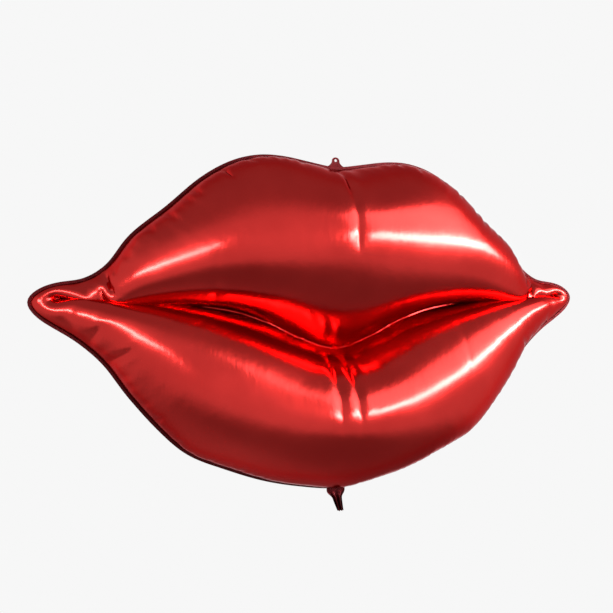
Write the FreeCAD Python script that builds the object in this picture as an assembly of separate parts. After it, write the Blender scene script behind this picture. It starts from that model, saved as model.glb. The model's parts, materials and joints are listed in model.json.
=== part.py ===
import FreeCAD, Part
import math
import os

# A foil balloon in the shape of a pair of lips, blown up and hanging by its tab.
# Millimetres. The front faces -Y and +Z is up. The origin is the centre of the hole in the hanging tab.

# Outline of the blown-up bag at its seam: heights and depths from the level of the mouth corners
HALF_WIDTH = 402.0
LOBE_HEIGHT = 203.5
DIP_BELOW_LOBES = 13.0
SHOULDER_HEIGHT = 161.0
UPPER_FLANK_HEIGHT = 67.0
UPPER_KINK_HEIGHT = 36.0
CHIN_DEPTH = 263.5
LOWER_SHOULDER_DEPTH = 192.0
LOWER_KINK_DEPTH = 59.0
CORNER_HEIGHT = 15.0
TIP_HEIGHT = 7.0
MOUTH_DIP = 64.0
MOUTH_SAG = 27.0

# Where those heights lie, as shares of the half width
LOBE_X_RATIO = 0.26
SHOULDER_X_RATIO = 0.50
UPPER_FLANK_X_RATIO = 0.75
LOWER_SHOULDER_X_RATIO = 0.54
KINK_X_RATIO = 0.83
CORNER_X_RATIO = 0.96
MOUTH_SAG_X_RATIO = 0.26
MOUTH_LEVEL_X_RATIO = 0.65

# Crown of each lip: how far its crest stands out from the seam plane, from the middle to the tip
UPPER_MIDDLE_CROWN = 96.0
UPPER_LOBE_CROWN = 89.5
UPPER_SHOULDER_CROWN = 74.0
UPPER_FLANK_CROWN = 34.0
LOWER_MIDDLE_CROWN = 92.0
LOWER_LOBE_CROWN = 84.5
LOWER_SHOULDER_CROWN = 68.5
LOWER_KINK_CROWN = 30.0
CORNER_CROWN = 11.0
TIP_CROWN = 0.15

# Where the crest lies: the upper one as a share of the way from the mouth up, the lower one from the seam up
UPPER_MIDDLE_CREST_RATIO = 0.62
UPPER_LOBE_CREST_RATIO = 0.51
UPPER_SHOULDER_CREST_RATIO = 0.43
LOWER_MIDDLE_CREST_RATIO = 0.50
LOWER_KINK_CREST_RATIO = 0.62

# Each corner is a small pouch, where the film stands clear of the seam plane and gas passes from lip to lip.
POUCH_LENGTH = 60.0
POUCH_LIFT_RATIO = 0.80

# Film and seals
FILM = 0.5
SEAL = 0.4
SEAL_CLEARANCE = 0.1
FLANGE = 4.0
MOUTH_WELD = 6.0
WELD_TO_POUCH = 15.0

# Hanging tab
TAB_WIDTH = 14.0
HOLE_RISE = 8.0
HOLE_DIAMETER = 4.0

# Filling tail and the valve that runs through it
TAIL_ROOT_WIDTH = 32.0
TAIL_TIP_WIDTH = 15.0
TAIL_LENGTH = 32.0
TAIL_EDGE = 2.5
VALVE_LENGTH = 95.0

# Room between the pieces that fold on each other
FOLD_CLEARANCE = 0.3

# Sections of the film on each side of the middle
LIP_STATIONS = 10
POUCH_STATIONS = 8

DIP_HEIGHT = LOBE_HEIGHT - DIP_BELOW_LOBES

LOBE_X = LOBE_X_RATIO * HALF_WIDTH
SHOULDER_X = SHOULDER_X_RATIO * HALF_WIDTH
UPPER_FLANK_X = UPPER_FLANK_X_RATIO * HALF_WIDTH
LOWER_SHOULDER_X = LOWER_SHOULDER_X_RATIO * HALF_WIDTH
KINK_X = KINK_X_RATIO * HALF_WIDTH
CORNER_X = CORNER_X_RATIO * HALF_WIDTH

TOP = (
    (0.0, DIP_HEIGHT),
    (LOBE_X, LOBE_HEIGHT),
    (SHOULDER_X, SHOULDER_HEIGHT),
    (UPPER_FLANK_X, UPPER_FLANK_HEIGHT),
    (KINK_X, UPPER_KINK_HEIGHT),
    (CORNER_X, CORNER_HEIGHT),
    (HALF_WIDTH, TIP_HEIGHT),
)
BOTTOM = (
    (0.0, -CHIN_DEPTH),
    (LOWER_SHOULDER_X, -LOWER_SHOULDER_DEPTH),
    (KINK_X, -LOWER_KINK_DEPTH),
    (CORNER_X, -CORNER_HEIGHT),
    (HALF_WIDTH, -TIP_HEIGHT),
)
MOUTH = (
    (0.0, -MOUTH_DIP),
    (MOUTH_SAG_X_RATIO * HALF_WIDTH, -MOUTH_SAG),
    (MOUTH_LEVEL_X_RATIO * HALF_WIDTH, 0.0),
    (HALF_WIDTH, 0.0),
)
UPPER_CROWN = (
    (0.0, UPPER_MIDDLE_CROWN),
    (LOBE_X, UPPER_LOBE_CROWN),
    (SHOULDER_X, UPPER_SHOULDER_CROWN),
    (UPPER_FLANK_X, UPPER_FLANK_CROWN),
    (CORNER_X, CORNER_CROWN),
    (HALF_WIDTH, TIP_CROWN),
)
LOWER_CROWN = (
    (0.0, LOWER_MIDDLE_CROWN),
    (LOBE_X, LOWER_LOBE_CROWN),
    (LOWER_SHOULDER_X, LOWER_SHOULDER_CROWN),
    (KINK_X, LOWER_KINK_CROWN),
    (CORNER_X, CORNER_CROWN),
    (HALF_WIDTH, TIP_CROWN),
)
UPPER_CREST = (
    (0.0, UPPER_MIDDLE_CREST_RATIO),
    (LOBE_X, UPPER_LOBE_CREST_RATIO),
    (SHOULDER_X, UPPER_SHOULDER_CREST_RATIO),
    (HALF_WIDTH, UPPER_SHOULDER_CREST_RATIO),
)
LOWER_CREST = (
    (0.0, LOWER_MIDDLE_CREST_RATIO),
    (LOWER_SHOULDER_X, LOWER_MIDDLE_CREST_RATIO),
    (KINK_X, LOWER_KINK_CREST_RATIO),
    (HALF_WIDTH, LOWER_KINK_CREST_RATIO),
)


def slope_at_point(points, i):
    """Slope of the smooth curve at its point i: level in the middle of the bag."""
    if i == 0:
        return 0.0
    after = points[min(i + 1, len(points) - 1)]
    before = points[i - 1]
    return (after[1] - before[1]) / (after[0] - before[0])


def height(points, x):
    """Height at x of the smooth curve through the points, the same on both sides of the middle."""
    x = min(abs(x), points[-1][0])
    i = 0
    while i < len(points) - 2 and x > points[i + 1][0]:
        i += 1
    (x0, z0), (x1, z1) = points[i], points[i + 1]
    span = x1 - x0
    t = (x - x0) / span
    rise0 = slope_at_point(points, i) * span
    rise1 = slope_at_point(points, i + 1) * span
    return (
        z0 * (2 * t ** 3 - 3 * t ** 2 + 1)
        + z1 * (3 * t ** 2 - 2 * t ** 3)
        + rise0 * (t ** 3 - 2 * t ** 2 + t)
        + rise1 * (t ** 3 - t ** 2)
    )


def rim(points, x):
    """Height at x of the die-cut edge: one flange outside the seam, and half of that at the very tip."""
    step = 0.01
    inside = min(abs(x), HALF_WIDTH - step)
    slope = (height(points, inside + step) - height(points, inside)) / step
    past = max(0.0, abs(x) - HALF_WIDTH) / FLANGE
    out = FLANGE * math.sqrt(1 + slope ** 2) * (1 - past ** 2 / 2)
    return height(points, x) + math.copysign(out, points[0][1])


# Worked out from the sizes above
PLY = SEAL / 2
INNER_Y = PLY + SEAL_CLEARANCE
OUTER_Y = INNER_Y + FILM
REACH = HALF_WIDTH + FLANGE
POUCH_AT = HALF_WIDTH - POUCH_LENGTH
WELD_END = POUCH_AT - WELD_TO_POUCH
TAB_ROOT = rim(TOP, TAB_WIDTH / 2)
TAB_AXIS = TAB_ROOT + FOLD_CLEARANCE + OUTER_Y
TAIL_ROOT = rim(BOTTOM, 0.0)
TAIL_AXIS = TAIL_ROOT - FOLD_CLEARANCE - OUTER_Y
VALVE_WIDTH = TAIL_ROOT_WIDTH - 2 * TAIL_EDGE
HOLE_HEIGHT = TAB_AXIS + HOLE_RISE


def at(x, y, z):
    return FreeCAD.Vector(x, y, z)


def line(start, end):
    return Part.makeLine(start, end)


def stations():
    """Places of the sections from left to right, closest together at both ends of each pouch."""
    quarter = math.pi / 2 / LIP_STATIONS
    half = math.pi / POUCH_STATIONS
    lips = [POUCH_AT * math.sin(k * quarter) for k in range(1, LIP_STATIONS)]
    pouch = [POUCH_AT + (REACH - POUCH_AT) * (1 - math.cos(k * half)) / 2 for k in range(POUCH_STATIONS + 1)]
    right = lips + pouch
    return [-x for x in reversed(right)] + [0.0] + right


def arc_to_crest(crest, end, inset):
    """Arc, in a section's plane, that leaves the crest upright and reaches the end. Points are (y, z).

    The inset makes it the inner face of a film of that thickness, about the same centre.
    """
    rise = end[1] - crest[1]
    run = end[0] - crest[0]
    radius = (rise ** 2 + run ** 2) / (2 * run)
    centre = (crest[0] + radius, crest[1])
    radius -= inset
    start = (crest[0] + inset, crest[1])
    last_y = end[0] + inset
    drop = math.sqrt(radius ** 2 - (last_y - centre[0]) ** 2)
    last = (last_y, centre[1] + math.copysign(drop, rise))
    half_y = start[0] + last[0] - 2 * centre[0]
    half_z = start[1] + last[1] - 2 * centre[1]
    scale = radius / math.hypot(half_y, half_z)
    middle = (centre[0] + half_y * scale, centre[1] + half_z * scale)
    return start, middle, last


def lip_faces(x, seam, mouth, crest_z, crown, lift):
    """Edges of one lip in the section at x, outside and inside: seam to crest, then crest to mouth."""
    crest = (-OUTER_Y - crown, crest_z)
    ends = ((-OUTER_Y, seam), (-OUTER_Y - lift, mouth))
    faces = []
    for inset in (0.0, FILM):
        to_seam, to_mouth = [
            [at(x, y, z) for y, z in arc_to_crest(crest, end, inset)] for end in ends
        ]
        faces.append((to_seam, to_mouth))
    return faces


def corner_share(x):
    """Nought along the lips, and from the pouch's start rising smoothly to one at the corner."""
    past = max(0.0, min(1.0, (abs(x) - POUCH_AT) / POUCH_LENGTH))
    return past ** 2 * (3 - 2 * past)


def film_section(x):
    """Closed section of the front film at x: from the lower flange over both lips, and back inside."""
    top = height(TOP, x)
    bottom = height(BOTTOM, x)
    lip_top = height(MOUTH, x) + MOUTH_WELD / 2
    lip_bottom = height(MOUTH, x) - MOUTH_WELD / 2
    upper_crown = height(UPPER_CROWN, x)
    lower_crown = height(LOWER_CROWN, x)
    lift = POUCH_LIFT_RATIO * corner_share(x) * min(upper_crown, lower_crown)
    upper_crest = lip_top + height(UPPER_CREST, x) * (top - lip_top)
    lower_crest = bottom + height(LOWER_CREST, x) * (lip_bottom - bottom)
    upper, upper_inside = lip_faces(x, top, lip_top, upper_crest, upper_crown, lift)
    lower, lower_inside = lip_faces(x, bottom, lip_bottom, lower_crest, lower_crown, lift)
    top_outer = at(x, -OUTER_Y, rim(TOP, x))
    top_inner = at(x, -INNER_Y, rim(TOP, x))
    bottom_outer = at(x, -OUTER_Y, rim(BOTTOM, x))
    bottom_inner = at(x, -INNER_Y, rim(BOTTOM, x))
    edges = [
        line(bottom_outer, lower[0][2]),
        line(lower[1][2], upper[1][2]),
        line(upper[0][2], top_outer),
        line(top_outer, top_inner),
        line(top_inner, upper_inside[0][2]),
        line(upper_inside[1][2], lower_inside[1][2]),
        line(lower_inside[0][2], bottom_inner),
        line(bottom_inner, bottom_outer),
    ]
    for lip in (upper, upper_inside, lower, lower_inside):
        edges += [Part.Arc(*arc).toShape() for arc in lip]
    return Part.Wire(Part.__sortEdges__(edges))


def front_panel():
    return Part.makeLoft([film_section(x) for x in stations()], True, False)


def mirrored(shape):
    return shape.mirror(at(0, 0, 0), at(0, 1, 0))


def curve(points):
    spline = Part.BSplineCurve()
    spline.interpolate(points)
    return spline.toShape()


def seal_plate(xs, upper, lower):
    """Plate as thick as the seal, between two edges given as heights at xs."""
    top = [at(x, -PLY, upper(x)) for x in xs]
    bottom = [at(x, -PLY, lower(x)) for x in xs]
    edges = [curve(top), line(top[-1], bottom[-1]), curve(bottom), line(bottom[0], top[0])]
    return Part.Face(Part.Wire(Part.__sortEdges__(edges))).extrude(at(0, SEAL, 0))


def slab(width, y_low, y_high, z_low, z_high):
    """Box centred on the middle of the bag."""
    return Part.makeBox(width, y_high - y_low, z_high - z_low, at(-width / 2, y_low, z_low))


def perimeter_seal():
    """Fused ring between the flanges, open at the filling neck."""
    xs = stations()
    inside = [-HALF_WIDTH] + [x for x in xs if abs(x) < HALF_WIDTH] + [HALF_WIDTH]
    whole = seal_plate(xs, lambda x: rim(TOP, x), lambda x: rim(BOTTOM, x))
    bag = seal_plate(inside, lambda x: height(TOP, x), lambda x: height(BOTTOM, x))
    neck = slab(VALVE_WIDTH, -PLY, PLY, TAIL_ROOT - FLANGE, -CHIN_DEPTH + FLANGE)
    return whole.cut(bag).cut(neck)


def mouth_seal():
    """Weld along the mouth line. It stops short of the pouches."""
    xs = [-WELD_END] + [x for x in stations() if abs(x) < WELD_END] + [WELD_END]
    half = MOUTH_WELD / 2
    return seal_plate(xs, lambda x: height(MOUTH, x) + half, lambda x: height(MOUTH, x) - half)


def valve_ply(y_low):
    return slab(VALVE_WIDTH, y_low, y_low + PLY, TAIL_ROOT, -CHIN_DEPTH + VALVE_LENGTH)


def rod(axis_z, width):
    """Rod on a fold line: what folds there is rounded to it."""
    return Part.makeCylinder(OUTER_Y, width, at(-width / 2, 0, axis_z), at(1, 0, 0))


def hanging_tab():
    """Both films fused, with a round end about the hole and a round edge on the fold line."""
    plate = slab(TAB_WIDTH, -OUTER_Y, OUTER_Y, TAB_AXIS, HOLE_HEIGHT)
    end = Part.makeCylinder(TAB_WIDTH / 2, 2 * OUTER_Y, at(0, -OUTER_Y, HOLE_HEIGHT), at(0, 1, 0))
    hole = Part.makeCylinder(HOLE_DIAMETER / 2, 2 * OUTER_Y, at(0, -OUTER_Y, HOLE_HEIGHT), at(0, 1, 0))
    return plate.fuse(end).fuse(rod(TAB_AXIS, TAB_WIDTH)).cut(hole).removeSplitter()


def tail_plate(root_width, tip_width, y_low, y_high):
    """Tapered plate of the tail, rounded where it folds."""
    root = TAIL_AXIS + OUTER_Y
    tip = TAIL_AXIS - TAIL_LENGTH
    corners = [
        at(-root_width / 2, y_low, root),
        at(root_width / 2, y_low, root),
        at(tip_width / 2, y_low, tip),
        at(-tip_width / 2, y_low, tip),
    ]
    plate = Part.Face(Part.makePolygon(corners + corners[:1])).extrude(at(0, y_high - y_low, 0))
    wide = 2 * root_width
    below = slab(wide, -OUTER_Y, OUTER_Y, tip, TAIL_AXIS)
    return plate.common(below.fuse(rod(TAIL_AXIS, wide))).removeSplitter()


def tail_ply(y_low, y_high):
    return tail_plate(TAIL_ROOT_WIDTH, TAIL_TIP_WIDTH, y_low, y_high)


def tail_valve(y_low, y_high):
    return tail_plate(VALVE_WIDTH, TAIL_TIP_WIDTH - 2 * TAIL_EDGE, y_low, y_high)


def tail_edge_seals():
    return tail_ply(-PLY, PLY).cut(tail_valve(-PLY, PLY)).removeSplitter()


def main():
    os.makedirs("parts", exist_ok=True)
    front = front_panel()
    nodes = {
        "front_panel": front,
        "rear_panel": mirrored(front),
        "perimeter_seal": perimeter_seal(),
        "mouth_seal": mouth_seal(),
        "valve_front_ply": valve_ply(-PLY),
        "valve_rear_ply": valve_ply(0),
        "hanging_tab": hanging_tab(),
        "tail_front_ply": tail_ply(-OUTER_Y, -INNER_Y),
        "tail_rear_ply": tail_ply(INNER_Y, OUTER_Y),
        "tail_edge_seals": tail_edge_seals(),
        "tail_valve_front_ply": tail_valve(-PLY, 0),
        "tail_valve_rear_ply": tail_valve(0, PLY),
    }
    for name, shape in nodes.items():
        shape.translate(at(0, 0, -HOLE_HEIGHT))
        shape.exportStep("parts/" + name + ".step")
        print(name, len(shape.Solids), shape.isValid(), round(shape.Volume, 1))


main()
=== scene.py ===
import json
import math
from types import SimpleNamespace

import bpy
import numpy as np
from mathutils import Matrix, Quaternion, Vector
from mathutils.bvhtree import BVHTree
from mathutils.geometry import barycentric_transform, delaunay_2d_cdt
from mathutils.kdtree import KDTree

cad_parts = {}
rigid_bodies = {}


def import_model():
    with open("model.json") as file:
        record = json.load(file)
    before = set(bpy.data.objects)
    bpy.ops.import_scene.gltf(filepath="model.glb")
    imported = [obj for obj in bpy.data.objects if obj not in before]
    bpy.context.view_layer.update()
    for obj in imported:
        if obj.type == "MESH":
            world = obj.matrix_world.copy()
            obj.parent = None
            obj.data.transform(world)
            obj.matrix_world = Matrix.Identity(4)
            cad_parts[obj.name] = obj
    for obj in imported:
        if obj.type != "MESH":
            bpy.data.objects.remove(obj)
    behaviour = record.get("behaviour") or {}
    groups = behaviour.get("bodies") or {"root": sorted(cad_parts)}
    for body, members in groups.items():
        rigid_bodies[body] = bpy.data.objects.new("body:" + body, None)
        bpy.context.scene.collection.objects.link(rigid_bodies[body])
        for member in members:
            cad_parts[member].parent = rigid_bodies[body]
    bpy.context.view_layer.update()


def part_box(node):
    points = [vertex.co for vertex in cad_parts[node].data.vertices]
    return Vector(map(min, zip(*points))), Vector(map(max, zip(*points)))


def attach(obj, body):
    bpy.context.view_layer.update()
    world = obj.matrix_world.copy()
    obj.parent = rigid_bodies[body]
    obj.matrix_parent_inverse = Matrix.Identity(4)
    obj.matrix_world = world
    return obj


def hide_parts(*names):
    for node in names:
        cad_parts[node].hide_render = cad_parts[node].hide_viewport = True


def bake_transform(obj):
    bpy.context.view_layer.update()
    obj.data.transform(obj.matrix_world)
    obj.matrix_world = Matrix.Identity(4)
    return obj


for leftover in list(bpy.data.objects):
    bpy.data.objects.remove(leftover)
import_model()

# A foil balloon in the shape of a pair of lips.
# Two plies of film, sealed round the edge and along the mouth, are cut flat.
# A small film solver then blows them up.
# Lengths are millimetres until a mesh is made.
MM = 0.001

# The gap at a fold, and levels in the part's frame, whose origin is the hole in the tab
FOLD_GAP = 0.3
TAB_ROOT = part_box("hanging_tab")[0][2] / MM - FOLD_GAP
TAIL_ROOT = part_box("front_panel")[0][2] / MM
TAIL_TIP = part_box("tail_front_ply")[0][2] / MM
CORNER_LEVEL = -203.8

# The flat cut of a panel at its seam: right half of the top and bottom edges and of the mouth weld
TOP_EDGE = (
    (0, 286), (45, 289), (90, 291), (135, 286), (180, 269), (225, 237), (270, 189),
    (315, 136), (343, 80), (370, 48), (395, 34), (414, 21), (427, 6), (433, -8),
)
BOTTOM_EDGE = (
    (0, -345), (60, -338), (120, -324), (180, -301), (235, -273), (280, -230),
    (320, -178), (352, -124), (382, -82), (404, -56), (422, -33),
)
MOUTH_LINE = ((0, -54), (55, -44), (110, -27), (170, -14), (260, -3), (330, -4), (388, -4))
FLANGE = 4.0
WELD_WIDTH = 1.6

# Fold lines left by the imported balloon, upright on the flat cut: x, lower end, upper end, depth
CREASES = (
    (-3, 108, 236, 2.2),
    (3, -205, -88, 0.7),
    (-25, -196, -68, 0.6),
    (-186, 14, 118, 0.7),
    (186, -160, -50, 0.4),
)
CREASE_SIDE = 3.0
CREASE_REACH = 11.0
CREASE_FADE = 26.0
BROAD_KINK = 0.55
SHARP_KINK = 0.45

# The film's triangles; FOLD_SPACING and LATTICE_CLEARANCE are shares of a step
COARSE_STEP = 10.0
FINE_STEP = 5.5
CURVE_STEPS = 24
OUTLINE_STEP = 1.0
FOLD_SPACING = 0.8
LATTICE_CLEARANCE = 0.65
INSIDE_ONLY = 1
MERGE_DISTANCE = 1e-4

# Film solver
COARSE_ROUNDS = 800
FINE_ROUNDS = 450
FORCE_EVERY = 4
PUSH = 0.004
PUSH_STEP = 9.0
FACES_AT_POINT = 6
EVEN_TRIANGLE = 0.433
DAMPING = 0.99
BENDING = 0.02
SQUEEZE = 0.04
UNEVEN = 0.05
SEED = 7
SEAM_REACHES = (10.0, 20.0)
SEAM_STIFFNESS = 0.02
START_SLOPE = 0.2
START_REACH = 40.0
PINCH = 28.0
LEAST_LENGTH = 1e-9

# The film is ironed near the sealed edge and at the tips, where the seal makes it stiffer
IRON_ROUNDS = 14
IRON_SHARE = 0.5
IRON_EDGE = 14.0
IRON_TIP = 62.0
SEAM_ROUNDS = 5
FLANGE_ROUNDS = 3

# Thickness of film and sealant, how far the sealant ends inside the flange, and each ply's shift
FILM = 0.2
SEAL = 0.1
SEAL_INSET = 1.2
PLY_SHIFT = 0.3

# A mesh edge that folds by more than this is shaded sharp
SHARP_FOLD = math.radians(50)


def smooth(points, closed):
    """Points along a smooth curve through the given ones."""
    points = np.array(points, float)
    n = len(points)
    t = np.linspace(0, 1, CURVE_STEPS, endpoint=False)[:, None]
    runs = []
    for i in range(n if closed else n - 1):
        near = [i - 1, i, i + 1, i + 2]
        near = [k % n if closed else min(max(k, 0), n - 1) for k in near]
        p, a, b, q = points[near]
        bend = (2 * p - 5 * a + 4 * b - q) * t ** 2
        twist = (3 * a - p - 3 * b + q) * t ** 3
        runs.append((2 * a + (b - p) * t + bend + twist) / 2)
    if not closed:
        runs.append(points[-1:])
    return np.concatenate(runs)


def spaced(line, step, closed):
    """The line with its points a step apart."""
    if closed:
        line = np.concatenate([line, line[:1]])
    runs = np.linalg.norm(np.diff(line, axis=0), axis=1)
    along = np.concatenate([[0], np.cumsum(runs)])
    count = int(round(along[-1] / step))
    at = np.linspace(0, along[-1], count + 1)
    if closed:
        at = at[:-1]
    return np.stack([np.interp(at, along, line[:, k]) for k in (0, 1)], 1)


def sideways(line, closed):
    """Unit normals of a flat line, to the left of its direction."""
    if closed:
        ahead = np.roll(line, -1, 0) - np.roll(line, 1, 0)
    else:
        ahead = np.gradient(line, axis=0)
    ahead = ahead / np.linalg.norm(ahead, axis=1, keepdims=True)
    return np.stack([-ahead[:, 1], ahead[:, 0]], 1)


def mirrored(points):
    """The left half of a line that starts in the middle, from its far end."""
    return [(-x, z) for x, z in reversed(points) if x > 0]


def within(loop, points):
    """Which flat points lie inside the loop."""
    x, z = points[:, 0], points[:, 1]
    found = np.zeros(len(points), bool)
    for (x0, z0), (x1, z1) in zip(loop, np.roll(loop, 1, 0)):
        if z0 == z1:
            continue
        found ^= ((z0 > z) != (z1 > z)) & (x < (x1 - x0) * (z - z0) / (z1 - z0) + x0)
    return found


def tree_of(points):
    """A search tree of flat points."""
    tree = KDTree(len(points))
    for i, (x, z) in enumerate(points):
        tree.insert((x, z, 0), i)
    tree.balance()
    return tree


def distance(points, tree):
    """How far each flat point lies from the nearest one in the tree."""
    return np.array([tree.find((x, z, 0))[2] for x, z in points])


def flat_areas(flat, tri):
    """Signed areas of flat triangles."""
    a, b, c = flat[tri[:, 0]], flat[tri[:, 1]], flat[tri[:, 2]]
    return ((b[:, 0] - a[:, 0]) * (c[:, 1] - a[:, 1]) - (b[:, 1] - a[:, 1]) * (c[:, 0] - a[:, 0])) / 2


def triangles(points, edges):
    """Triangles between the points that keep the given edges, all turned the same way."""
    made = delaunay_2d_cdt([Vector(p) for p in points], edges, [], INSIDE_ONLY, MERGE_DISTANCE)
    flat = np.array([tuple(p) for p in made[0]])
    tri = np.array([tuple(f) for f in made[2]])
    turned = flat_areas(flat, tri) < 0
    tri[turned] = tri[turned][:, ::-1]
    return flat, tri


def chain(first, count, closed):
    """Edges from point to point along a line, by their numbers."""
    edges = [(first + i, first + i + 1) for i in range(count - 1)]
    if closed:
        edges.append((first + count - 1, first))
    return edges


def fold_lines(step, creases):
    """Rows of points on and beside each fold line."""
    folds = []
    for x, low, high, depth in creases:
        heights = np.linspace(low, high, int((high - low) / (FOLD_SPACING * step)))
        for side in (-CREASE_SIDE, 0, CREASE_SIDE):
            folds.append(np.stack([np.full(len(heights), x + side), heights], 1))
    return folds


def cut_film(step, creases):
    """Both plies of the flat cut as one mesh: seam and weld points belong to both plies."""
    half = list(TOP_EDGE) + list(reversed(BOTTOM_EDGE))
    seam = spaced(spaced(smooth(half + mirrored(half), True), OUTLINE_STEP, True), step, True)
    mouth = spaced(smooth(mirrored(MOUTH_LINE) + list(MOUTH_LINE), False), step, False)
    weld_side = WELD_WIDTH / 2 * sideways(mouth, False)
    weld = np.concatenate([mouth + weld_side, (mouth - weld_side)[::-1]])
    lines = [(seam, True), (weld, True)] + [(fold, False) for fold in fold_lines(step, creases)]
    low, high = seam.min(0), seam.max(0)
    rows = np.arange(low[1], high[1], step * math.sqrt(3) / 2)
    columns = np.arange(low[0], high[0], step)
    lattice = np.array([(x + (i % 2) * step / 2, z) for i, z in enumerate(rows) for x in columns])
    lattice = lattice[within(seam, lattice)]
    clear = distance(lattice, tree_of(np.concatenate([line for line, closed in lines])))
    lattice = lattice[clear > LATTICE_CLEARANCE * step]
    edges = []
    first = 0
    for line, closed in lines:
        edges += chain(first, len(line), closed)
        first += len(line)
    flat, tri = triangles(np.concatenate([line for line, closed in lines] + [lattice]), edges)
    middle = flat[tri].mean(1)
    panel = tri[within(seam, middle)]
    shared = len(seam) + len(weld)
    return SimpleNamespace(
        step=step,
        flat=np.concatenate([flat, flat[shared:]]),
        count=len(flat),
        shared=shared,
        seam=np.arange(len(seam)),
        panel=panel,
        rear=np.where(panel >= shared, panel + len(flat) - shared, panel)[:, ::-1],
        weld=tri[within(weld, middle)],
    )


def first_shape(film):
    """Both plies lifted a little from the seam plane, front and rear."""
    flat = film.flat
    rise = START_SLOPE * np.minimum(distance(flat, tree_of(flat[:film.shared])), START_REACH)
    rise[film.count:] *= -1
    return np.stack([flat[:, 0], -rise, flat[:, 1]], 1)


def finer_shape(coarse, coarse_points, film):
    """The coarse film's shape, taken over by a finer cut."""
    level = [(x, 0, z) for x, z in coarse.flat]
    made = []
    plies = ((coarse.panel, film.flat[:film.count]), (coarse.rear, film.flat[film.count:]))
    for faces, points in plies:
        tree = BVHTree.FromPolygons(level, faces.tolist())
        for x, z in points:
            at, normal, face, gap = tree.find_nearest((x, 0, z))
            corners = [Vector(level[k]) for k in faces[face]]
            targets = [Vector(coarse_points[k]) for k in faces[face]]
            made.append(barycentric_transform(at, *corners, *targets))
    return np.array(made)


def face_edges(faces):
    """The three edges of every face, in the direction in which it uses them."""
    return np.concatenate([faces[:, [0, 1]], faces[:, [1, 2]], faces[:, [2, 0]]])


def film_edges(film):
    """The edges of both plies, each once."""
    pairs = face_edges(np.concatenate([film.panel, film.rear]))
    return np.unique(np.sort(pairs, axis=1), axis=0)


def edge_batches(edges, lengths, count):
    """The edges with their flat lengths, in groups whose edges share no point."""
    used = [set() for _ in range(count)]
    group = np.zeros(len(edges), int)
    for i, (a, b) in enumerate(edges.tolist()):
        k = 0
        while k in used[a] or k in used[b]:
            k += 1
        group[i] = k
        used[a].add(k)
        used[b].add(k)
    batches = []
    for k in range(group.max() + 1):
        chosen = group == k
        batches.append((edges[chosen, 0], edges[chosen, 1], lengths[chosen]))
    return batches


def gathered(index, values, count):
    """Sums of the values at each point."""
    return np.stack([np.bincount(index, values[:, k], count) for k in range(3)], 1)


def summed_normals(points, faces, unit=1):
    """At each point the sum of its faces' normals, which are twice their areas long, over the unit."""
    a, b, c = (points[faces[:, k]] for k in range(3))
    normals = np.cross(b - a, c - a) / unit
    return gathered(faces.ravel(), np.repeat(normals, 3, axis=0), len(points))


def around(points, edges):
    """The mean place of each point's neighbours."""
    count = len(points)
    neighbours = np.bincount(edges.ravel(), minlength=count)[:, None]
    total = gathered(edges[:, 0], points[edges[:, 1]], count)
    total += gathered(edges[:, 1], points[edges[:, 0]], count)
    return total / neighbours


def bow(ring, apart):
    """How far each point of a ring lies from the middle of two others that are so many places away."""
    return (np.roll(ring, apart, 0) + np.roll(ring, -apart, 0)) / 2 - ring


def blow_up(film, points, rounds):
    """Gas pushes the plies apart; the film hardly stretches and gives way where it is squeezed.

    The sealed edge is stiffer than the film, and tends to keep the curve to which it was cut.
    """
    edges = film_edges(film)
    lengths = np.linalg.norm(film.flat[edges[:, 0]] - film.flat[edges[:, 1]], axis=1)
    count = len(points)
    batches = edge_batches(edges, lengths, count)
    faces = np.concatenate([film.panel, film.rear])
    face_unit = 2 * FACES_AT_POINT * EVEN_TRIANGLE * lengths.mean() ** 2
    push = PUSH * (film.step / PUSH_STEP) ** 2
    cut_ring = np.insert(film.flat[film.seam], 1, 0, axis=1)
    reaches = [max(1, int(round(reach / film.step))) for reach in SEAM_REACHES]
    cut_bows = [(apart, bow(cut_ring, apart)) for apart in reaches]
    points = points.copy()
    points[:, 1] += np.random.default_rng(SEED).normal(0, UNEVEN, count)
    speed = np.zeros_like(points)
    for turn in range(rounds):
        if turn % FORCE_EVERY == 0:
            force = summed_normals(points, faces, face_unit)
            bend = around(points, edges) - points
        speed = speed * DAMPING + push * (force + BENDING * bend)
        moved = points + speed
        for i, j, length in batches if turn % 2 == 0 else batches[::-1]:
            gap = moved[j] - moved[i]
            reach = np.sqrt((gap * gap).sum(1))
            strain = (reach - length) / reach
            gap *= (np.where(strain > 0, strain, strain * SQUEEZE) / 2)[:, None]
            moved[i] += gap
            moved[j] -= gap
        for apart, cut_bow in cut_bows:
            ring = moved[film.seam]
            moved[film.seam] = ring + SEAM_STIFFNESS * (bow(ring, apart) - cut_bow)
        speed = moved - points
        points = moved
    return points


def blurred(ring, times):
    """A ring whose points are drawn towards their neighbours."""
    for _ in range(times):
        ring = (np.roll(ring, 1, 0) + 2 * ring + np.roll(ring, -1, 0)) / 4
    return ring


def ironed(film, points):
    """The film without its finest puckers along the seam and at both tips."""
    edges = film_edges(film)
    tip = np.abs(film.flat[:, 0]).max()
    from_seam = distance(film.flat, tree_of(film.flat[film.seam]))
    share = np.exp(-(from_seam / IRON_EDGE) ** 2)
    share = np.maximum(share, np.exp(-((tip - np.abs(film.flat[:, 0])) / IRON_TIP) ** 2))[:, None]
    points = points.copy()
    points[film.seam] = blurred(points[film.seam], SEAM_ROUNDS)
    for _ in range(IRON_ROUNDS):
        moved = points + IRON_SHARE * share * (around(points, edges) - points)
        moved[film.seam] = points[film.seam]
        points = moved
    return points


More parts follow.
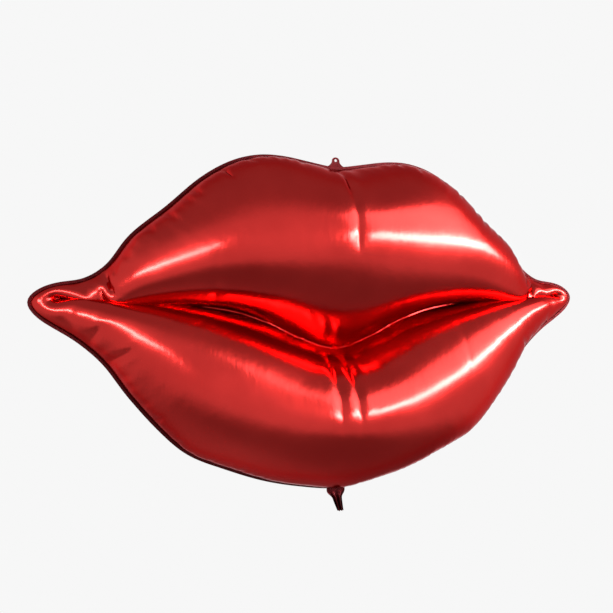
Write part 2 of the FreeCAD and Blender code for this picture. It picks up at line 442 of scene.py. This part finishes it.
def add_flange(film, points):
    """The sealed flange outside the seam, in the seam's own plane, joined to the blown-up film."""
    ring = points[film.seam]
    ahead = np.roll(ring, -1, 0) - np.roll(ring, 1, 0)
    out = np.stack([-ahead[:, 2], 0 * ahead[:, 1], ahead[:, 0]], 1)
    out = blurred(out / np.linalg.norm(out, axis=1, keepdims=True), FLANGE_ROUNDS)
    out /= np.linalg.norm(out, axis=1, keepdims=True)
    flat_ring = film.flat[film.seam]
    film.rim = len(points) + film.seam
    a, b = film.seam, np.roll(film.seam, -1)
    c, d = film.rim, np.roll(film.rim, -1)
    film.flange = np.concatenate([np.stack([a, b, c], 1), np.stack([b, d, c], 1)])
    film.flat = np.concatenate([film.flat, flat_ring + FLANGE * sideways(flat_ring, True)])
    rim = film.flat[film.rim]
    film.size = rim.max(0) - rim.min(0)
    flange_area = np.abs(flat_areas(film.flat, film.flange)).sum()
    film.area = flat_areas(film.flat, film.panel).sum() + flange_area
    return np.concatenate([points, ring + FLANGE * out])


def upper_or_lower(flat, top):
    """Which flat points lie in the upper half or, if not top, in the lower one."""
    return flat[:, 1] > 0 if top else flat[:, 1] < 0


def middle_of_rim(film, top):
    """The rim point above or below the middle of the mouth."""
    flat = film.flat[film.rim]
    side = upper_or_lower(flat, top)
    return film.rim[side][np.argmin(np.abs(flat[side, 0]))]


def hang(film, points):
    """Puts the blown-up film where the tab and the tail hold it."""
    top, bottom = middle_of_rim(film, True), middle_of_rim(film, False)
    points = points.copy()
    scale = (TAB_ROOT - TAIL_ROOT) / (points[top, 2] - points[bottom, 2])
    points[:, 2] = TAB_ROOT + (points[:, 2] - points[top, 2]) * scale
    for held, level in ((top, TAB_ROOT), (bottom, TAIL_ROOT)):
        away = np.linalg.norm(film.flat - film.flat[held], axis=1)
        pull = np.array([0, 0, level]) - points[held]
        points += np.exp(-(away / PINCH) ** 2)[:, None] * pull
    return points


def point_normals(points, faces):
    """Unit normals at the points, from the faces round them."""
    total = summed_normals(points, faces)
    return total / np.maximum(np.linalg.norm(total, axis=1, keepdims=True), LEAST_LENGTH)


def eased(t):
    """A share from 0 to 1 that starts and ends gently."""
    t = np.clip(t, 0, 1)
    return t * t * (3 - 2 * t)


def crease_depth(flat):
    """How far each fold line draws the film in: a kink that fades away to both sides and to its ends."""
    depth = np.zeros(len(flat))
    for x, low, high, most in CREASES:
        side = np.abs(flat[:, 0] - x)
        ends = np.minimum(flat[:, 1] - low, high - flat[:, 1])
        fade = eased(ends / CREASE_FADE)
        kink = BROAD_KINK * np.exp(-side / CREASE_REACH) + SHARP_KINK * np.exp(-side / CREASE_SIDE)
        depth = np.maximum(depth, most * fade * kink)
    return depth


def blown_up_film():
    """The film at rest, its points in the part's frame."""
    film = cut_film(COARSE_STEP, ())
    points = blow_up(film, first_shape(film), COARSE_ROUNDS)
    coarse = film
    film = cut_film(FINE_STEP, CREASES)
    points = blow_up(film, finer_shape(coarse, points, film), FINE_ROUNDS)
    points = hang(film, add_flange(film, ironed(film, points)))
    out = point_normals(points, np.concatenate([film.panel, film.rear]))
    return film, points - crease_depth(film.flat)[:, None] * out


def add_object(name, data):
    """A new object in the scene."""
    made = bpy.data.objects.new(name, data)
    bpy.context.scene.collection.objects.link(made)
    return made


def add_mesh(name, points, faces, materials, which=None):
    """A smooth-shaded piece in metres; which gives each face's material."""
    mesh = bpy.data.meshes.new(name)
    mesh.from_pydata((points * MM).tolist(), [], [list(f) for f in faces])
    mesh.polygons.foreach_set("use_smooth", [True] * len(mesh.polygons))
    mesh.set_sharp_from_angle(angle=SHARP_FOLD)
    for material in materials:
        mesh.materials.append(material)
    if which is not None:
        mesh.polygons.foreach_set("material_index", which)
    return add_object(name, mesh)


def open_edges(faces):
    """Edges of one face only, in the direction in which it uses them."""
    pairs = face_edges(faces).tolist()
    known = set(map(tuple, pairs))
    return np.array([p for p in pairs if (p[1], p[0]) not in known])


def film_piece(name, points, faces, thickness, shift, materials, which=None):
    """A closed thin shell on both sides of the faces, moved out along their normals by the shift."""
    used, numbers = np.unique(faces.ravel(), return_inverse=True)
    faces = numbers.reshape(-1, 3)
    points = points[used]
    out = point_normals(points, faces)
    outer = points + out * (shift + thickness / 2)
    inner = points + out * (shift - thickness / 2)
    count = len(points)
    sides = [(b, a, a + count, b + count) for a, b in open_edges(faces).tolist()]
    every = faces.tolist() + (faces[:, ::-1] + count).tolist() + sides
    if which is not None:
        which = list(which) * 2 + [max(which)] * len(sides)
    return add_mesh(name, np.concatenate([outer, inner]), every, materials, which)


# Noise in the materials, whose values mostly lie between the low and the high one
NOISE_LOW = 0.3
NOISE_HIGH = 0.7
NOISE_ROUGHNESS = 0.55


def node(tree, kind, links=None, **values):
    """A shader node with its settings, its inputs' values and its links."""
    made = tree.nodes.new(kind)
    for key, value in values.items():
        setattr(made, key, value)
    for socket, source in (links or {}).items():
        if isinstance(source, bpy.types.NodeSocket):
            tree.links.new(source, made.inputs[socket])
        else:
            made.inputs[socket].default_value = source
    return made


def new_material(name):
    """A material with its node tree and its shader."""
    material = bpy.data.materials.new(name)
    material.use_nodes = True
    return material, material.node_tree, material.node_tree.nodes["Principled BSDF"]


def place_on(tree):
    """Places on the piece, in metres."""
    return node(tree, "ShaderNodeTexCoord").outputs["Object"]


def noise(tree, coords, scale, detail, stretch=(1, 1, 1)):
    """A noise value that is centred on a half; the stretch shrinks or lengthens it along each axis."""
    placed = node(tree, "ShaderNodeMapping", {"Vector": coords, "Scale": stretch})
    settings = {
        "Vector": placed.outputs[0],
        "Scale": scale,
        "Detail": detail,
        "Roughness": NOISE_ROUGHNESS,
    }
    return node(tree, "ShaderNodeTexNoise", settings).outputs["Fac"]


def ranged(tree, value, low, high, to_low, to_high):
    """The value's way from low to high, eased, as a way between two other numbers."""
    settings = {
        "Value": value,
        "From Min": low,
        "From Max": high,
        "To Min": to_low,
        "To Max": to_high,
    }
    return node(tree, "ShaderNodeMapRange", settings, interpolation_type="SMOOTHSTEP").outputs[0]


def combined(tree, first, second, operation):
    """Two numbers added, multiplied or compared."""
    return node(tree, "ShaderNodeMath", {0: first, 1: second}, operation=operation).outputs[0]


def between(tree, value, dark, light):
    """A colour between two, by the value."""
    ramp = node(tree, "ShaderNodeValToRGB", {"Fac": value})
    ramp.color_ramp.elements[0].color = (*dark, 1)
    ramp.color_ramp.elements[0].position = NOISE_LOW
    ramp.color_ramp.elements[1].color = (*light, 1)
    ramp.color_ramp.elements[1].position = NOISE_HIGH
    return ramp.outputs["Color"]


def finish_with(tree, shader, value, tints, roughness):
    """Colour and roughness that both vary with the value."""
    rough = ranged(tree, value, NOISE_LOW, NOISE_HIGH, *roughness)
    tree.links.new(rough, shader.inputs["Roughness"])
    tree.links.new(between(tree, value, *tints), shader.inputs["Base Color"])


def bumped(tree, shader, height, strength, depth):
    """Relief in the surface, its depth in metres."""
    bump = node(tree, "ShaderNodeBump", {"Height": height, "Strength": strength, "Distance": depth})
    tree.links.new(bump.outputs[0], shader.inputs["Normal"])


FOIL_TINTS = ((0.50, 0.021, 0.018), (0.57, 0.028, 0.024))
FOIL_ROUGHNESS = (0.18, 0.24)
FOIL_EDGE_TINT = (0.6, 0.2, 0.22, 1)
FOIL_HAZE_SCALE = 9
FOIL_RUCK_SCALE = 170
FOIL_RUCK_STRETCH = (1, 1, 0.25)
FOIL_DIMPLE_SCALE = 55
FOIL_BUMP = 0.22
FOIL_BUMP_DEPTH = 0.0008
FOIL_COAT = 0.15
FOIL_COAT_ROUGHNESS = 0.15


def foil_material():
    """Red metallised film: a tinted mirror with a satin haze, fine upright rucks and a lacquer."""
    material, tree, shader = new_material("red_foil")
    coords = place_on(tree)
    haze = noise(tree, coords, FOIL_HAZE_SCALE, 3)
    rucks = noise(tree, coords, FOIL_RUCK_SCALE, 2, FOIL_RUCK_STRETCH)
    dimples = noise(tree, coords, FOIL_DIMPLE_SCALE, 2)
    finish_with(tree, shader, haze, FOIL_TINTS, FOIL_ROUGHNESS)
    bumped(tree, shader, combined(tree, rucks, dimples, "ADD"), FOIL_BUMP, FOIL_BUMP_DEPTH)
    shader.inputs["Metallic"].default_value = 1.0
    shader.inputs["Specular Tint"].default_value = FOIL_EDGE_TINT
    shader.inputs["Coat Weight"].default_value = FOIL_COAT
    shader.inputs["Coat Roughness"].default_value = FOIL_COAT_ROUGHNESS
    return material


# The band's dark tints are painted shade: they darken the flange, tab and tail as if shadowed and
# reflecting little light
BAND_SHADE_TINTS = ((0.035, 0.003, 0.004), (0.065, 0.005, 0.006))
BAND_ROUGHNESS = (0.38, 0.52)
BAND_HAZE_SCALE = 40
BAND_HATCH_SCALE = 260.0
BAND_HATCH_WAVER = 1.5
BAND_BUMP = 0.25
BAND_BUMP_DEPTH = 0.0003
BAND_COAT = 0.05
BAND_COAT_ROUGHNESS = 0.3


def shaded_seal_band_material():
    """The heat-sealed edge, also on the tab and tail: the same film, duller, its colour darkened as
    painted shade, with the fine hatch of the sealing bar.
    """
    material, tree, shader = new_material("sealed_foil_painted_shade")
    coords = place_on(tree)
    haze = noise(tree, coords, BAND_HAZE_SCALE, 3)
    finish_with(tree, shader, haze, BAND_SHADE_TINTS, BAND_ROUGHNESS)
    settings = {"Vector": coords, "Scale": BAND_HATCH_SCALE, "Distortion": BAND_HATCH_WAVER}
    hatch = node(tree, "ShaderNodeTexWave", settings, bands_direction="DIAGONAL")
    bumped(tree, shader, hatch.outputs["Fac"], BAND_BUMP, BAND_BUMP_DEPTH)
    shader.inputs["Metallic"].default_value = 1.0
    shader.inputs["Coat Weight"].default_value = BAND_COAT
    shader.inputs["Coat Roughness"].default_value = BAND_COAT_ROUGHNESS
    return material


SEALANT_TINTS = ((0.66, 0.63, 0.61), (0.76, 0.74, 0.72))
SEALANT_ROUGHNESS = (0.45, 0.6)
SEALANT_CLOUD_SCALE = 60


def sealant_material():
    """The fused milky layer between the plies."""
    material, tree, shader = new_material("sealant")
    cloud = noise(tree, place_on(tree), SEALANT_CLOUD_SCALE, 3)
    finish_with(tree, shader, cloud, SEALANT_TINTS, SEALANT_ROUGHNESS)
    return material


CLEAR_TINTS = ((0.84, 0.84, 0.84), (0.92, 0.92, 0.92))
CLEAR_ROUGHNESS = (0.12, 0.22)
CLEAR_CLOUD_SCALE = 45
CLEAR_TRANSMISSION = 0.8


def clear_film_material():
    """The slightly milky film of the valve."""
    material, tree, shader = new_material("clear_film")
    cloud = noise(tree, place_on(tree), CLEAR_CLOUD_SCALE, 2)
    finish_with(tree, shader, cloud, CLEAR_TINTS, CLEAR_ROUGHNESS)
    shader.inputs["Transmission Weight"].default_value = CLEAR_TRANSMISSION
    return material


# How far to each side of the middle the rim and the seam are followed for the tab, tail and valve
ROOT_REACH = 40.0


def root_lines(film, points, top):
    """Where the rim and the seam run under the tab or over the tail, by their flat place across."""
    lines = []
    for part in (film.rim, film.seam):
        flat = film.flat[part]
        near = (np.abs(flat[:, 0]) < ROOT_REACH) & upper_or_lower(flat, top)
        order = np.argsort(flat[near, 0])
        lines.append((flat[near, 0][order], points[part[near][order]]))
    return lines


def on_line(line, across):
    """Points of a root line at the given flat places across."""
    places, points = line
    return np.stack([np.interp(across, places, points[:, k]) for k in range(3)], 1)


def on_flange(lines, across, depth):
    """Points between rim and seam, the depth measured from the rim."""
    rim, seam = (on_line(line, across) for line in lines)
    return rim + (seam - rim) * (depth / FLANGE)[:, None]


TAB_RADIUS = 5.8
TAB_TOP = 4.6
TAB_FLARE = 13.0
TAB_HOLLOW = 2.2
TAB_LAP = 3.0
TAB_FILM = 0.6
TAB_BEND = 4.5
TAB_TWIST = 0.03
TAB_ARCH_POINTS = 25
TAB_SIDE_POINTS = 8
TAB_EDGE_STEP = 0.8
TAB_STEP = 0.9
TAB_CLEARANCE = 0.5
HOLE_RADIUS = 2.0
HOLE_POINTS = 28


def tab_outline():
    """A tongue with an arched top, flared where it leaves the flange."""
    turn = np.linspace(0, math.pi, TAB_ARCH_POINTS)
    arch = np.stack([np.cos(turn) * TAB_RADIUS, np.sin(turn) * TAB_TOP], 1)
    fall = np.linspace(0, 1, TAB_SIDE_POINTS, endpoint=False)[:, None]
    sweep = (TAB_FLARE, TAB_ROOT) + fall * (TAB_RADIUS - TAB_FLARE, -TAB_ROOT)
    sweep[:, 0] -= TAB_HOLLOW * np.sin(math.pi * fall[:, 0])
    side = [(TAB_FLARE, TAB_ROOT - TAB_LAP)] + sweep.tolist()
    return spaced(np.array(side + arch.tolist() + mirrored(side)), TAB_EDGE_STEP, True)


def tab_piece(film, points, material):
    """The hanging tab: a tongue of the sealed edge with a punched hole."""
    outline = tab_outline()
    turn = np.linspace(0, 2 * math.pi, HOLE_POINTS, endpoint=False)
    hole = np.stack([np.cos(turn), np.sin(turn)], 1) * HOLE_RADIUS
    low, high = outline.min(0), outline.max(0)
    columns = np.arange(low[0], high[0], TAB_STEP)
    rows = np.arange(low[1], high[1], TAB_STEP)
    lattice = np.array([(x, z) for x in columns for z in rows])
    lattice = lattice[within(outline, lattice) & ~within(hole, lattice)]
    clear = distance(lattice, tree_of(np.concatenate([outline, hole])))
    lattice = lattice[clear > TAB_CLEARANCE]
    edges = chain(0, len(outline), True) + chain(len(outline), len(hole), True)
    flat, faces = triangles(np.concatenate([outline, hole, lattice]), edges)
    middle = flat[faces].mean(1)
    faces = faces[within(outline, middle) & ~within(hole, middle)]
    above = flat[:, 1] - TAB_ROOT
    free = np.stack([flat[:, 0], TAB_TWIST * flat[:, 0] * above / TAB_RADIUS, flat[:, 1]], 1)
    held = on_flange(root_lines(film, points, True), flat[:, 0], np.maximum(-above, 0))
    held[:, 2] += np.maximum(above, 0)
    share = eased(above / TAB_BEND)[:, None]
    return film_piece("tab_film", held * (1 - share) + free * share, faces, TAB_FILM, 0, [material])


TAIL_HALF_ROOT = 16.0
TAIL_HALF_TIP = 7.5
TAIL_LAP = 3.0
TAIL_FILM = 0.08
TAIL_LEAN = 7.0
TAIL_LEAN_POWER = 1.4
TAIL_FORWARD = 1.5
TAIL_HELD_END = 0.4
TAIL_GATHER_END = 0.45
TAIL_GATHER = 0.40
TAIL_PLEATS = 2.5
TAIL_PLEAT_DEPTH = 2.2
TAIL_PLEAT_START = 0.9
TAIL_PLEAT_TURN = 0.8
TAIL_ROWS = 26
TAIL_COLUMNS = 36
TAIL_LEAST_COLUMNS = 5


def tail_points(film, points, across, down):
    """The tail's middle surface, gathered into pleats: across from -1 to 1, down from rim to tip."""
    cut = TAIL_HALF_ROOT + (TAIL_HALF_TIP - TAIL_HALF_ROOT) * np.clip(down, 0, 1)
    gather = eased(down / TAIL_GATHER_END)
    half = cut * (1 - TAIL_GATHER * gather)
    length = TAIL_ROOT - TAIL_TIP
    lean = TAIL_LEAN * np.clip(down, 0, 1) ** TAIL_LEAN_POWER
    wave = np.sin(TAIL_PLEATS * math.pi * across + TAIL_PLEAT_START + TAIL_PLEAT_TURN * down)
    pleat = TAIL_PLEAT_DEPTH * gather * wave
    free = np.stack([half * across + lean, pleat - TAIL_FORWARD * down, TAIL_ROOT - length * down], 1)
    lines = root_lines(film, points, False)
    held = on_flange(lines, TAIL_HALF_ROOT * across, np.maximum(-down, 0) * length)
    held[:, 2] -= np.maximum(down, 0) * length
    share = eased(down / TAIL_HELD_END)[:, None]
    return held * (1 - share) + free * share


def grid_faces(rows, columns):
    """Triangles of a grid of points."""
    faces = []
    for i in range(rows - 1):
        for j in range(columns - 1):
            a = i * columns + j
            b = a + columns
            faces += [(a, b, a + 1), (a + 1, b, b + 1)]
    return np.array(faces)


def tail_piece(name, film, points, spans, shift, material):
    """One layer of the tail, over the given spans of its width, moved front or rear by the shift."""
    parts = []
    faces = []
    lap = TAIL_LAP / (TAIL_ROOT - TAIL_TIP)
    heights = np.linspace(-lap, 1, TAIL_ROWS)
    for left, right in spans:
        columns = max(TAIL_LEAST_COLUMNS, int(TAIL_COLUMNS * (right - left) / 2))
        places = np.linspace(left, right, columns)
        down, across = np.meshgrid(heights, places, indexing="ij")
        part = tail_points(film, points, across.ravel(), down.ravel())
        part[:, 1] += shift
        faces.append(grid_faces(TAIL_ROWS, columns) + sum(len(p) for p in parts))
        parts.append(part)
    return film_piece(name, np.concatenate(parts), np.concatenate(faces), TAIL_FILM, 0, [material])


VALVE_HALF = 13.5
VALVE_LENGTH = 95.0
VALVE_SHIFT = 0.1
VALVE_SPREAD = 3
VALVE_EASE = 0.3
VALVE_WAVE = 2.5
VALVE_WAVE_TURN = 4.2
VALVE_ROWS = 30
VALVE_COLUMNS = 12


def valve_piece(name, film, points, shift, material):
    """One ply of the flat valve inside the bag, from the bottom seam up."""
    heights = np.linspace(0, 1, VALVE_ROWS)
    places = np.linspace(-1, 1, VALVE_COLUMNS)
    up, across = np.meshgrid(heights, places, indexing="ij")
    up, across = up.ravel(), across.ravel()
    seam = root_lines(film, points, False)[1]
    made = on_line(seam, VALVE_HALF * across)
    made[:, 1] *= 1 - eased(up / VALVE_EASE)
    wave = VALVE_WAVE * np.sin(VALVE_WAVE_TURN * up) * eased(up)
    made[:, 1] += shift * (1 + VALVE_SPREAD * up) + wave
    made[:, 2] += VALVE_LENGTH * up
    faces = grid_faces(VALVE_ROWS, VALVE_COLUMNS)
    return film_piece(name, made, faces, TAIL_FILM, 0, [material])


def add_panels(film, points, foil, shaded_band):
    """The front and rear plies with their flanges, each one sheet of film."""
    # The flange faces take the band material, whose dark colour is painted shade
    kinds = [0] * len(film.panel) + [1] * len(film.flange)
    plies = (
        ("front_film", film.panel, film.flange[:, ::-1], "front_panel"),
        ("rear_film", film.rear, film.flange, "rear_panel"),
    )
    for name, panel, flange, solid in plies:
        faces = np.concatenate([panel, flange])
        piece = film_piece(name, points, faces, FILM, PLY_SHIFT, [foil, shaded_band], kinds)
        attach(piece, "envelope")
        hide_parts(solid)


def add_seals(film, points, sealant):
    """The fused layers between the plies; the one at the edge ends a little inside the flange."""
    inset = points.copy()
    inward = (points[film.seam] - points[film.rim]) * SEAL_INSET / FLANGE
    inset[film.rim] += inward
    inset[film.seam] -= inward
    seals = (
        ("edge_sealant", film.flange, "perimeter_seal"),
        ("mouth_sealant", film.weld, "mouth_seal"),
    )
    for name, faces, solid in seals:
        piece = film_piece(name, inset, faces, SEAL, 0, [sealant])
        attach(piece, "envelope")
        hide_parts(solid)


def add_valve(film, points, clear):
    """Both plies of the valve inside the bag."""
    plies = (
        ("valve_front_film", -VALVE_SHIFT, "valve_front_ply"),
        ("valve_rear_film", VALVE_SHIFT, "valve_rear_ply"),
    )
    for name, shift, solid in plies:
        piece = valve_piece(name, film, points, shift, clear)
        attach(piece, "envelope")
        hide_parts(solid)


def add_tab(film, points, shaded_band):
    """The tab, curving up out of the flange into its free tongue, in place of its solid."""
    tab = tab_piece(film, points, shaded_band)
    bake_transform(tab)
    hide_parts("hanging_tab")


# Layers of the tail, as shares of its half width and as shifts to the front or rear
TAIL_VALVE_EDGE = 0.84
TAIL_SEAL_INNER = 0.86
TAIL_SEAL_OUTER = 0.99
TAIL_PLY_SHIFT = 0.3


def add_tail(film, points, shaded_band, sealant, clear):
    """The layers of the tail, running from the flange into the free pleated tail, in place of their
    solids.
    """
    whole = ((-1, 1),)
    inside = ((-TAIL_VALVE_EDGE, TAIL_VALVE_EDGE),)
    edges = ((-TAIL_SEAL_OUTER, -TAIL_SEAL_INNER), (TAIL_SEAL_INNER, TAIL_SEAL_OUTER))
    # The tail plies take the band material, whose dark colour is painted shade
    layers = (
        ("tail_front_film", whole, -TAIL_PLY_SHIFT, shaded_band, "red_foil", "tail_front_ply"),
        ("tail_rear_film", whole, TAIL_PLY_SHIFT, shaded_band, "red_foil", "tail_rear_ply"),
        ("tail_edge_sealant", edges, 0, sealant, "sealant", "tail_edge_seals"),
        ("tail_valve_front_film", inside, -VALVE_SHIFT, clear, "clear_film", "tail_valve_front_ply"),
        ("tail_valve_rear_film", inside, VALVE_SHIFT, clear, "clear_film", "tail_valve_rear_ply"),
    )
    for name, spans, shift, material, slot, solid in layers:
        piece = tail_piece(name, film, points, spans, shift, material)
        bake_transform(piece)
        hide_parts(solid)


def add_balloon():
    """Every piece of the balloon in place of its solids; the plies, seals and valve go on the envelope's
    body.
    """
    film, points = blown_up_film()
    # The band material, painted dark as shade, goes on the flanges, the tab and the tail
    foil, shaded_band = foil_material(), shaded_seal_band_material()
    sealant, clear = sealant_material(), clear_film_material()
    add_panels(film, points, foil, shaded_band)
    add_seals(film, points, sealant)
    add_valve(film, points, clear)
    add_tab(film, points, shaded_band)
    add_tail(film, points, shaded_band, sealant, clear)


# Camera: level, a little to the left of the middle, its eye just above the mouth corners
# Distances are metres, and the lens and its sensor millimetres
CAMERA_AZIMUTH = math.radians(-20.6)
CAMERA_DISTANCE = 1.050
EYE_ABOVE_CORNERS = 0.025
SENSOR_WIDTH = 36.0
LENS = 42.8
SHIFT_X = -0.0475
SHIFT_Y = -0.0355


def add_camera():
    """The camera at the photograph's viewing angle."""
    camera = add_object("camera", bpy.data.cameras.new("camera"))
    camera.data.sensor_width = SENSOR_WIDTH
    camera.data.lens = LENS
    camera.data.shift_x = SHIFT_X
    camera.data.shift_y = SHIFT_Y
    back = Vector((math.sin(CAMERA_AZIMUTH), -math.cos(CAMERA_AZIMUTH), 0))
    camera.location = Vector((0, 0, CORNER_LEVEL * MM + EYE_ABOVE_CORNERS)) + back * CAMERA_DISTANCE
    camera.rotation_euler = (-back).to_track_quat("-Z", "Y").to_euler()
    bpy.context.scene.camera = camera


# Lamps, in metres: name, place, width and height, watts, roll in degrees
LAMPS = (
    ("key_lamp", (1.30, -1.09, 0.10), (1.9, 0.20), 18, 12),
    ("soft_panel", (1.25, -1.05, 0.62), (1.9, 0.8), 5, 0),
    ("side_lamp", (-1.05, -1.3, 0.0), (1.1, 0.16), 4.5, 0),
)
LAMP_SPREAD = 90


def add_lamp(name, place, size, power, roll):
    """A soft panel of light that points at the middle of the mouth."""
    lamp = bpy.data.lights.new(name, "AREA")
    lamp.shape = "RECTANGLE"
    lamp.size, lamp.size_y = size
    lamp.energy = power
    lamp.spread = math.radians(LAMP_SPREAD)
    lamp_object = add_object(name, lamp)
    lamp_object.location = place
    aim = Vector((0, 0, CORNER_LEVEL * MM)) - Vector(place)
    turn = Quaternion((0, 0, 1), math.radians(roll))
    lamp_object.rotation_euler = (aim.to_track_quat("-Z", "Y") @ turn).to_euler()
    lamp_object.visible_camera = False


# The studio: walls as seen, ceiling as seen and where it begins, and the light on matt surfaces
WHITE = 0.93
CEILING = 0.46
CEILING_SPAN = (0.45, 0.8)
LIGHT_LEVEL = 0.34


def background_share(tree):
    """1 for what the eye, gloss and glass see, 0 for what only lights a matt surface."""
    path = node(tree, "ShaderNodeLightPath").outputs
    seen = combined(tree, path["Is Camera Ray"], path["Is Glossy Ray"], "MAXIMUM")
    return combined(tree, seen, path["Is Transmission Ray"], "MAXIMUM")


def add_world():
    """White walls all round and a darker ceiling."""
    world = bpy.data.worlds.new("studio")
    bpy.context.scene.world = world
    world.use_nodes = True
    tree = world.node_tree
    tree.nodes.clear()
    way = node(tree, "ShaderNodeTexCoord").outputs["Generated"]
    up = node(tree, "ShaderNodeSeparateXYZ", {"Vector": way}).outputs["Z"]
    level = ranged(tree, up, *CEILING_SPAN, WHITE, CEILING)
    seen = node(tree, "ShaderNodeBackground", {"Color": level, "Strength": 1.0})
    grey = (LIGHT_LEVEL, LIGHT_LEVEL, LIGHT_LEVEL, 1)
    light = node(tree, "ShaderNodeBackground", {"Color": grey, "Strength": 1.0})
    links = {0: background_share(tree), 1: light.outputs[0], 2: seen.outputs[0]}
    both = node(tree, "ShaderNodeMixShader", links)
    output = node(tree, "ShaderNodeOutputWorld")
    tree.links.new(both.outputs[0], output.inputs["Surface"])


# The floor, in metres: matt near the object, passing into the white walls to the sides and behind
FLOOR_LEVEL = -1.8
FLOOR_RADIUS = 4.8
FLOOR_POINTS = 96
FLOOR_TINTS = ((0.80, 0.80, 0.80), (0.83, 0.83, 0.83))
FLOOR_CLOUD_SCALE = 5
FLOOR_ROUGHNESS = 0.9
MATT_ZONE_SCALE = (1.7, 1, 0)
MATT_ZONE_EDGE = (2.4, 4.6)
MATT_ZONE_BACK = (1.6, 2.4)


def floor_glow_share(tree, coords):
    """0 on the matt zone round the object, 1 where the floor is as white as the walls."""
    scaled = node(tree, "ShaderNodeVectorMath", {0: coords, 1: MATT_ZONE_SCALE}, operation="MULTIPLY")
    away = node(tree, "ShaderNodeVectorMath", {0: scaled.outputs[0]}, operation="LENGTH")
    ahead = (-math.sin(CAMERA_AZIMUTH), math.cos(CAMERA_AZIMUTH), 0)
    back = node(tree, "ShaderNodeVectorMath", {0: coords, 1: ahead}, operation="DOT_PRODUCT")
    outside = ranged(tree, away.outputs["Value"], *MATT_ZONE_EDGE, 0, 1)
    behind = ranged(tree, back.outputs["Value"], *MATT_ZONE_BACK, 0, 1)
    far = combined(tree, outside, behind, "MAXIMUM")
    return combined(tree, far, background_share(tree), "MULTIPLY")


def floor_material():
    """Pale and matt, with a white glow further out."""
    material, tree, shader = new_material("pale_floor")
    coords = place_on(tree)
    cloud = noise(tree, coords, FLOOR_CLOUD_SCALE, 2)
    tree.links.new(between(tree, cloud, *FLOOR_TINTS), shader.inputs["Base Color"])
    shader.inputs["Roughness"].default_value = FLOOR_ROUGHNESS
    share = floor_glow_share(tree, coords)
    glow = node(tree, "ShaderNodeEmission", {"Color": (WHITE, WHITE, WHITE, 1), "Strength": 1.0})
    both = node(tree, "ShaderNodeMixShader", {0: share, 1: shader.outputs[0], 2: glow.outputs[0]})
    tree.links.new(both.outputs[0], tree.nodes["Material Output"].inputs["Surface"])
    return material


def add_floor():
    """A pale floor that keeps the shadow below the object and turns into the white walls further out."""
    mesh = bpy.data.meshes.new("floor")
    turn = np.linspace(0, 2 * math.pi, FLOOR_POINTS, endpoint=False)
    ring = [(FLOOR_RADIUS * math.cos(a), FLOOR_RADIUS * math.sin(a), FLOOR_LEVEL) for a in turn]
    mesh.from_pydata(ring, [], [list(range(len(ring)))])
    floor = add_object("floor", mesh)
    mesh.materials.append(floor_material())


bpy.context.scene.view_settings.view_transform = "Standard"
add_balloon()
add_camera()
add_world()
add_floor()
for lamp_settings in LAMPS:
    add_lamp(*lamp_settings)
